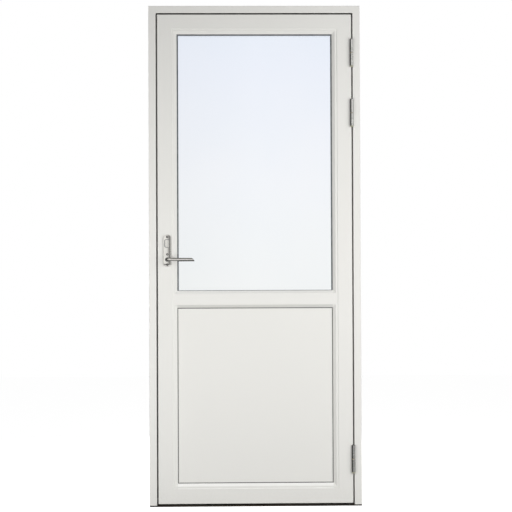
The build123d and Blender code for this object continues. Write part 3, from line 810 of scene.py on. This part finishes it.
def addScrew(bm, radius, spot, values=screw):
    known = set(bm.verts)
    half, reach = values["crossHalf"] * radius, values["crossReach"] * radius
    made = bmesh.ops.create_grid(bm, x_segments=3, y_segments=3, size=1)["verts"]
    for vert in made:
        for axis in (0, 1):  # the grid's outer lines lie at 1, and its inner ones at a third
            vert.co[axis] = math.copysign(reach if abs(vert.co[axis]) > 0.5 else half, vert.co[axis])
    faces = {face for vert in made for face in vert.link_faces}
    corners = [face for face in faces if min(abs(part) for part in face.calc_center_median().xy) > half]
    bmesh.ops.delete(bm, geom=corners, context="FACES")
    cross = [face for face in faces if face.is_valid]
    sunk = bmesh.ops.extrude_face_region(bm, geom=cross)["geom"]
    floor = [item for item in sunk if isinstance(item, bmesh.types.BMVert)]
    bmesh.ops.translate(bm, vec=(0, 0, -values["crossDepth"] * radius), verts=floor)
    taper = values["crossTaper"]
    bmesh.ops.scale(bm, vec=(taper, taper, 1), verts=floor)
    bmesh.ops.delete(bm, geom=[face for face in cross if face.is_valid], context="FACES")
    inner = [edge for edge in bm.edges if edge.is_boundary and not set(edge.verts) & known]
    circle = bmesh.ops.create_circle(
        bm, segments=values["segments"], radius=radius * values["face"])["verts"]
    outer = ringEdges(circle)
    bmesh.ops.triangle_fill(bm, edges=inner + outer, use_beauty=True)
    outer = pushRing(bm, outer, (0, 0, -values["dome"] * radius), 1 / values["face"])
    outer = pushRing(bm, outer, (0, 0, -values["rim"] * radius), values["foot"])
    bmesh.ops.contextual_create(bm, geom=outer)
    setDown(bm, spot, known)


def keepScrews(name, bm, body):
    keepPiece(name, bm, body, "screwSteel", sharpAngle=screw["sharpAngle"])


# Handle set: long plate, cylinder cover, screws, bush and lever on each face of the leaf

handleLow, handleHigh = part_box("spindle")
handleAxis = (handleLow + handleHigh) / 2
plateBoxes = {side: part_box("handle_plate_" + side) for side in leafSides}
quarterTurn = Matrix.Rotation(math.pi / 2, 4, "X")  # up on the plate is up in the room
acrossLeaf = Matrix.Scale(-1, 4, (0, 1, 0))


def onLeaf(face):  # on the spindle's axis, at a face of the leaf
    return Matrix.Translation((handleAxis.x, face, handleAxis.z))


handleSpots = {
    "outside": onLeaf(plateBoxes["outside"][1].y) @ quarterTurn,
    "inside": onLeaf(plateBoxes["inside"][0].y) @ acrossLeaf @ quarterTurn,
}

plate = {
    "corner": 13 * mm,
    "cornerSegments": 14,
    "crownRun": 16 * mm,
    "crownRise": 3.4 * mm,
    "crownSteps": 12,
    "crownSweep": 76,  # degrees, so that the corners still have a radius at its end
    "screwRadius": 5.0 * mm,
    "screwLevels": (-21.5 * mm, 21.5 * mm, 93.7 * mm),  # from the spindle
    "screwTurns": (0.5, 1.5, 2.5),
    "screwProud": 0.3 * mm,
}


def makePlate(side, values):
    low, high = plateBoxes[side]
    size, middle = (high.x - low.x, high.z - low.z), (0, (low.z + high.z) / 2 - handleAxis.z)
    thickness = high.y - low.y
    bm = bmesh.new()
    face = roundedFace(bm, size, middle, values["corner"], values["cornerSegments"])
    face = raiseFace(bm, face, thickness - values["crownRise"])
    crownFace(
        bm, face, values["crownRun"], values["crownRise"], values["crownSteps"], values["crownSweep"])
    setDown(bm, handleSpots[side])
    keepPiece(
        f"handlePlate_{side}", bm, "leaf", "handleNickel", [f"handle_plate_{side}"])
    bm = bmesh.new()
    for level, turn in zip(values["screwLevels"], values["screwTurns"]):
        spot = Matrix.Translation((0, level, thickness + values["screwProud"]))
        spin = Matrix.Rotation(turn, 4, "Z")
        addScrew(bm, values["screwRadius"], handleSpots[side] @ spot @ spin)
    keepScrews(f"handleScrews_{side}", bm, "leaf")


cover = {
    "corner": 6 * mm,
    "cornerSegments": 14,
    "bevelRun": 2.2 * mm,
    "bevelRise": 1.3 * mm,
    "bevelSteps": 7,
    "sunk": 1.2 * mm,  # how far it goes into the crowned plate
    "collarMargin": 1.4 * mm,
    "collarShiftForShadow": -1.0 * mm,  # it sits a little off to the lock's side, so its dark rubber also stands as the cover's painted shadow
    "collarDepth": 2.2 * mm,
    "collarProud": 0.25 * mm,
    "collarRun": 0.5 * mm,
    "collarRise": 0.3 * mm,
    "collarSteps": 3,
}


def makeCover(side, values):
    low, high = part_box("cylinder_cover_" + side)
    plateLow, plateHigh = plateBoxes[side]
    corner, segments = values["corner"], values["cornerSegments"]
    width, height, up = high.x - low.x, high.z - low.z, (low.z + high.z) / 2 - handleAxis.z
    top = plateHigh.y - plateLow.y  # the plate's own face
    proud = max(high.y, plateHigh.y) - min(low.y, plateLow.y) - top
    bm = bmesh.new()
    face = roundedFace(bm, (width, height), (0, up), corner, segments, top - values["sunk"])
    face = raiseFace(bm, face, values["sunk"] + proud - values["bevelRise"])
    crownFace(bm, face, values["bevelRun"], values["bevelRise"], values["bevelSteps"])
    setDown(bm, handleSpots[side])
    keepPiece(
        f"cylinderCover_{side}", bm, "leaf", "handleNickel",
        [f"cylinder_cover_{side}"])

    # a dark rubber collar round the cover, set off to one side so that it also serves as painted shadow
    margin, depth = values["collarMargin"], values["collarDepth"]
    size, middle = (width + 2 * margin, height + 2 * margin), (values["collarShiftForShadow"], up)
    bm = bmesh.new()
    face = roundedFace(
        bm, size, middle, corner + margin, segments, top + values["collarProud"] - depth)
    face = raiseFace(bm, face, depth - values["collarRise"])
    crownFace(bm, face, values["collarRun"], values["collarRise"], values["collarSteps"])
    setDown(bm, handleSpots[side])
    keepPiece(f"coverCollarAndShadow_{side}", bm, "leaf", "sealRubber")


lever = {
    "segments": 40,
    "clearance": 0.1 * mm,  # between the neck and the leaf, and inside the bush
    "neckRadius": 7.0 * mm,
    "neckLength": 14 * mm,
    "shoulderSteps": 6,
    "tubeRadius": 6.4 * mm,
    "bendRadius": 14 * mm,
    "bendSteps": 14,
    "barRings": 8,
    "tipRadius": 5.8 * mm,
    "tipSlant": 10.5 * mm,
    "tipPower": 1.25,
    "tipRound": 1.1 * mm,
    "tipSegments": 4,
    "bushRadius": 9.0 * mm,
    "bushProud": 1.2 * mm,
    "bushDepth": 1.5 * mm,
}


def makeLever(side, values):
    low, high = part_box("lever_" + side)
    plateLow, plateHigh = plateBoxes[side]
    neck, tube, bend = values["neckRadius"], values["tubeRadius"], values["bendRadius"]
    clearance, shoulder = values["clearance"], neck - tube
    bm = bmesh.new()
    circle = bmesh.ops.create_circle(
        bm, segments=values["segments"], radius=neck, cap_ends=True,
        matrix=Matrix.Translation((0, 0, clearance)))["verts"]
    ring = pushRing(bm, ringEdges(circle), (0, 0, values["neckLength"]))
    steps = values["shoulderSteps"]
    for step in range(steps):  # rounded shoulder from the neck down to the tube
        start, end = (math.pi / 2 * turn / steps for turn in (step, step + 1))
        before, after = (tube + shoulder * math.cos(turn) for turn in (start, end))
        ring = pushRing(bm, ring, (0, 0, shoulder * (math.sin(end) - math.sin(start))), after / before)
    straight = high.y - low.y - tube - bend - values["neckLength"] - shoulder
    ring = pushRing(bm, ring, (0, 0, straight))
    turning = Matrix.Rotation(math.pi / 2 / values["bendSteps"], 3, "Y")
    corner = Vector((bend, 0, ringVerts(ring)[0].co.z))
    for step in range(values["bendSteps"]):
        ring = pushRing(bm, ring, turn=(corner, turning))
    rings = values["barRings"]
    run = (high.x - handleAxis.x - bend) / rings
    taper = (values["tipRadius"] / tube) ** (1 / rings)
    for step in range(rings):
        ring = pushRing(bm, ring, (run, 0, 0), taper)
    verts = ringVerts(ring)
    bottom, top = min(vert.co.y for vert in verts), max(vert.co.y for vert in verts)
    for vert in verts:  # the end slants back along the top
        share = (vert.co.y - bottom) / (top - bottom)
        vert.co.x -= values["tipSlant"] * share ** values["tipPower"]
    end = bmesh.ops.contextual_create(bm, geom=ring)["faces"]
    bmesh.ops.bevel(
        bm, geom=list(end[0].edges), offset=values["tipRound"], offset_type="OFFSET",
        segments=values["tipSegments"], profile=0.5, affect="EDGES", material=-1)
    setDown(bm, handleSpots[side])
    keepPiece(f"lever_{side}Bar", bm, "handle", "leverNickel", [f"lever_{side}"])

    bm = bmesh.new()
    thickness = plateHigh.y - plateLow.y
    foot, proud = thickness - values["bushDepth"], values["bushProud"]
    inner, outer = neck + clearance, values["bushRadius"]
    spinProfile(bm, [
        (inner, foot), (outer, foot), *arcPoints((outer - proud, thickness), proud, 0, 90),
        (inner, thickness + proud), (inner, foot)])
    setDown(bm, handleSpots[side])
    keepPiece(f"leverBush_{side}", bm, "leaf", "sealRubber")


for side in leafSides:
    makePlate(side, plate)
    makeCover(side, cover)
    makeLever(side, lever)
print("handle set made")


# Lift-off hinges: turned knuckles on recessed wings

jambFace = -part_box("strike_plates")[1].x  # the strikes lie flush with the other jamb
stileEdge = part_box("stile_hinge")[1].x
hinge = {
    "arris": 0.7 * mm,
    "arrisSteps": 3,
    "domeHeight": 2.6 * mm,
    "domeSteps": 10,
    "clearance": 0.1 * mm,  # between the washer and the upper knuckle
    "capHeight": 5.5 * mm,
    "capRound": 1.6 * mm,
    "lip": 0.3 * mm,  # at the joint of the cap and the knuckle
    "pinRadius": 4.55 * mm,
    "wingThickness": 3 * mm,
    "wingWidth": 31 * mm,
    "wingCorner": 6 * mm,
    "wingSegments": 8,
    "neckWidth": 22 * mm,
    "neckCorner": 0.01 * mm,
    "gauge": (14 * mm, 23 * mm),  # screws from the wing's inner end
    "screwLevels": (-46 * mm, -17 * mm, 17 * mm, 46 * mm),
    "screwRadius": 3.9 * mm,
    "screwProud": 0.1 * mm,
    "screwTurn": 0.8,  # from each screw to the next
}


def addWing(bm, plane, low, high, neckLow, neckHigh, values):
    # drawn flat with +X inwards over the timber and +Y up, then stood against the plane
    known = set(bm.verts)
    width, neckWidth, thickness = values["wingWidth"], values["neckWidth"], values["wingThickness"]
    face = roundedFace(
        bm, (width, high - low), (width / 2, (low + high) / 2), values["wingCorner"],
        values["wingSegments"], rounded=lambda place: place.x > width / 2)
    raiseFace(bm, face, thickness)
    face = roundedFace(
        bm, (neckWidth, neckHigh - neckLow),
        (width / 2 - neckWidth / 2, (neckLow + neckHigh) / 2), values["neckCorner"], 1)
    raiseFace(bm, face, thickness)
    stand = Matrix(((0, 0, 1, plane), (1, 0, 0, doorFront), (0, 1, 0, 0), (0, 0, 0, 1)))
    setDown(bm, stand, known)


def makeHinge(level, values):
    leafLow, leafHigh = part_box(f"hinge_{level}_leaf")
    washerLow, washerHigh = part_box(f"hinge_{level}_washer")
    bottom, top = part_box(f"hinge_{level}_frame")[0].z, leafHigh.z
    axis = (washerLow + washerHigh) / 2
    radius = (washerHigh.x - washerLow.x) / 2
    spot = Matrix.Translation((axis.x, axis.y, 0))
    bore, arris, steps = values["pinRadius"], values["arris"], values["arrisSteps"]
    dome, capRound, lip = values["domeHeight"], values["capRound"], values["lip"]
    foot, upperFoot = bottom + values["capHeight"], washerHigh.z + values["clearance"]

    bm = bmesh.new()
    spinProfile(bm, [
        (0, upperFoot + 2 * arris), (bore, upperFoot + 2 * arris), (bore, upperFoot),
        *arcPoints((radius - arris, upperFoot + arris), arris, -90, 0, steps),
        *arcPoints((0, top - dome), radius, 0, 90, values["domeSteps"], dome)])
    setDown(bm, spot)
    addWing(
        bm, stileEdge - values["wingThickness"], leafLow.z, top, upperFoot + arris, top - dome,
        values)
    keepPiece(f"hingeUpper_{level}", bm, "leaf", "hingeZinc", [f"hinge_{level}_leaf"])

    bm = bmesh.new()
    spinProfile(bm, [
        (0, foot), (radius - arris, foot), (radius, foot + lip),
        *arcPoints((radius - arris, washerLow.z - arris), arris, 0, 90, steps),
        (bore, washerLow.z), (bore, washerHigh.z), (0, washerHigh.z)])
    setDown(bm, spot)
    addWing(bm, jambFace, bottom, top, foot + arris, washerLow.z - arris, values)
    keepPiece(
        f"hingeLower_{level}", bm, "frame", "hingeZinc", [f"hinge_{level}_frame"])

    bm = bmesh.new()
    spinProfile(bm, [
        (0, bottom), *arcPoints((radius - capRound, bottom + capRound), capRound, -90, 0),
        (radius, foot - lip), (radius - arris, foot), (0, foot)])
    setDown(bm, spot)
    keepPiece(f"hingeCap_{level}", bm, "frame", "capZinc")

    middle, inner = (bottom + top) / 2, doorFront + values["wingWidth"]
    for body, plane, facing in (("frame", jambFace, -1), ("leaf", stileEdge, 1)):
        bm = bmesh.new()
        for index, height in enumerate(values["screwLevels"]):
            place = Matrix.Translation((
                plane + facing * values["screwProud"], inner - values["gauge"][index % 2],
                middle + height))
            spin = Matrix.Rotation(index * values["screwTurn"], 4, "Z")
            stand = Matrix.Rotation(facing * math.pi / 2, 4, "Y") @ spin
            addScrew(bm, values["screwRadius"], place @ stand)
        keepScrews(f"hingeScrews_{body}_{level}", bm, body)


for level in hingeLevels:
    makeHinge(level, hinge)
print("hinges made")


# Small fixings that show when the leaf is open

fixings = {
    "proud": 0.1 * mm,
    "boltScrew": 44 * mm,  # above and below each bolt
    "strikeHalf": 55 * mm,  # from a strike plate's end to its bolt
    "strikeRadius": 3.6 * mm,
    "strikeTurn": 1.0,
    "faceplateEnd": 13 * mm,
    "faceplateRadius": 3.4 * mm,
    "faceplateTurn": 0.7,
    "capRadius": 6.8 * mm,
    "capDepth": 6 * mm,
    "capTaper": (0.6 * mm, 1 * mm),  # off the radius, over the end of the depth
    "capRound": 0.5 * mm,
    "capRise": 0.7 * mm,
    "capSteps": 32,
    "capInset": 42.5 * mm,  # from the door's face
    "capLevels": (150 * mm, 733.33 * mm, 1316.67 * mm, 1900 * mm),
}


def makeFixings(values):
    strikeLow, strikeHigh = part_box("strike_plates")
    half, proud = values["strikeHalf"], values["proud"]
    boltLevels = (strikeLow.z + half, handleAxis.z, strikeHigh.z - half)
    toRight, toLeft = (Matrix.Rotation(way * math.pi / 2, 4, "Y") for way in (1, -1))
    bm = bmesh.new()
    for index, level in enumerate(boltLevels):
        for way in (-1, 1):
            place = Matrix.Translation((
                strikeHigh.x + proud, (strikeLow.y + strikeHigh.y) / 2,
                level + way * values["boltScrew"]))
            spin = Matrix.Rotation((index + way) * values["strikeTurn"], 4, "Z")
            addScrew(bm, values["strikeRadius"], place @ toRight @ spin)
    keepScrews("strikeScrews", bm, "frame")

    plateLow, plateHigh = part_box("lock_faceplate")
    screwLevels = [plateLow.z + values["faceplateEnd"], plateHigh.z - values["faceplateEnd"]]
    screwLevels += [level + way * values["boltScrew"] for level in boltLevels for way in (-1, 1)]
    bm = bmesh.new()
    for index, level in enumerate(screwLevels):
        place = Matrix.Translation((plateLow.x - proud, (plateLow.y + plateHigh.y) / 2, level))
        spin = Matrix.Rotation(index * values["faceplateTurn"], 4, "Z")
        addScrew(bm, values["faceplateRadius"], place @ toLeft @ spin)
    keepScrews("faceplateScrews", bm, "leaf")

    radius, depth, rim = values["capRadius"], values["capDepth"], values["capRound"]
    narrower, over = values["capTaper"]
    bm = bmesh.new()
    for side, turned in ((-1, toRight), (1, toLeft)):
        for level in values["capLevels"]:
            known = set(bm.verts)
            spinProfile(bm, [
                (0, -depth), (radius - narrower, -depth), (radius, over - depth), (radius, 0),
                *arcPoints((radius - rim, 0), rim, 0, 90, 3), (0, values["capRise"])],
                values["capSteps"])
            place = Matrix.Translation((side * jambFace, doorFront + values["capInset"], level))
            setDown(bm, place @ turned, known)
    keepPiece("fixingCaps", bm, "frame", "paintPanel")


makeFixings(fixings)
print("pieces made")


# Studio light and backdrop

surroundings = {
    "white": (1, 1, 1),
    "through": (  # pale day behind the glass, by the slope of the view
        (0.0, (0.940, 0.938, 0.930)), (0.02, (0.945, 0.945, 0.945)), (0.055, (0.945, 0.945, 0.970)),
        (0.115, (0.886, 0.903, 0.974)), (0.135, (0.862, 0.888, 0.962))),
    "slopes": (-0.01, 0.15),
    "throughLeft": 0.932,
    "leftToRight": (-0.03, 0.026),
    "mirrored": (  # how bright the room is that the metal mirrors, by how far a direction points right
        (-1.0, 0.7), (-0.9, 0.95), (-0.06, 0.95), (-0.02, 0.86), (0.03, 0.62), (0.145, 0.45),
        (0.29, 0.19), (0.40, 0.22), (0.60, 0.68), (0.80, 0.60), (1.0, 0.12)),
    "mirroredBlue": 0.985,
    "mirroredDark": 0.17,  # what lies steeply above or below, as far as the next three pairs say
    "upright": (0.68, 0.88),
    "notLeft": (-0.16, -0.04),
    "notRight": (0.6, 0.4),
    "ambient": (0.16, 0.16, 0.16),
}


def makeWorld(values):
    world = bpy.data.worlds.new("studioWorld")
    tree = emptyTree(world)
    towards = splitAxes(tree, tree.nodes.new("ShaderNodeTexCoord").outputs["Generated"])
    slope = colourRamp(tree, towards["Z"], values["slopes"], values["through"])
    side = remap(tree, towards["X"], values["leftToRight"], (values["throughLeft"], 1.0))
    through = dimColour(tree, slope, side)
    room = [(reach, (grey, grey, values["mirroredBlue"] * grey)) for reach, grey in values["mirrored"]]
    across = colourRamp(tree, towards["X"], (-1.0, 1.0), room)
    upright = remap(tree, calculate(tree, "ABSOLUTE", towards["Z"]), values["upright"])
    notLeft = remap(tree, towards["X"], values["notLeft"])
    notRight = remap(tree, towards["X"], values["notRight"])
    unlit = calculate(tree, "MULTIPLY", upright, calculate(tree, "MULTIPLY", notLeft, notRight))
    mirrored = mixColours(tree, unlit, across, (values["mirroredDark"],) * 3)
    ray = tree.nodes.new("ShaderNodeLightPath").outputs
    colour = mixColours(tree, ray["Is Glossy Ray"], values["ambient"], mirrored)
    colour = mixColours(tree, ray["Is Transmission Ray"], colour, through)
    colour = mixColours(tree, ray["Is Camera Ray"], colour, values["white"])
    background = addNode(tree, "ShaderNodeBackground", {"Color": colour, "Strength": 1.0})
    addNode(tree, "ShaderNodeOutputWorld", {"Surface": background.outputs[0]})
    bpy.context.scene.world = world


softLights = {  # places and sizes in metres
    "keySoftbox": {"place": (1.6, -2.34, 1.24), "size": (3.0, 2.4), "watts": 73, "mirrored": False},
    "fillSoftbox": {
        "place": (-1.125, -1.66, 0.78), "size": (0.6, 0.9), "watts": 14.8, "mirrored": False},
    "rearSoftbox": {"place": (-1.6, 3.4, 1.7), "size": (2.4, 2.4), "watts": 120, "mirrored": True},
}


def makeSoftbox(name, values):
    data = bpy.data.lights.new(name, "AREA")
    data.shape = "RECTANGLE"
    data.size, data.size_y = values["size"]
    data.energy = values["watts"]
    lamp = addObject(name, data)
    lamp.location = values["place"]
    aim = Vector((0, doorFront, lamp.location.z))
    lamp.rotation_euler = (aim - lamp.location).to_track_quat("-Z", "Y").to_euler()
    lamp.visible_camera = False
    lamp.visible_transmission = False
    lamp.visible_glossy = values["mirrored"]


studioFloor = {
    "half": 12.0,
    "ground": (0.33, 0.33, 0.32),
    "lit": (0.8, 0.8, 0.8),
    "glows": {"Is Camera Ray": 0.86, "Is Transmission Ray": 0.78, "Is Glossy Ray": 0.15},
}


def makeFloor(values):
    material, tree, shader = newFinish("studioFloor", {
        "Roughness": 1.0, "Specular IOR Level": 0.0, "Emission Color": (1, 1, 1, 1),
    })[:3]
    ray = tree.nodes.new("ShaderNodeLightPath").outputs
    seen, glow = 0.0, 0.0
    for kind, strength in values["glows"].items():
        seen = calculate(tree, "MAXIMUM", seen, ray[kind])
        glow = calculate(tree, "MAXIMUM", glow, calculate(tree, "MULTIPLY", ray[kind], strength))
    colour = mixColours(tree, seen, values["ground"], values["lit"])
    connect(tree, shader, {"Base Color": colour, "Emission Strength": glow})
    bm = bmesh.new()
    bmesh.ops.create_grid(bm, x_segments=1, y_segments=1, size=values["half"])
    floor = addMesh("studioFloor", bm, material)


makeWorld(surroundings)
for name, values in softLights.items():
    makeSoftbox(name, values)
makeFloor(studioFloor)
print("light and floor made")
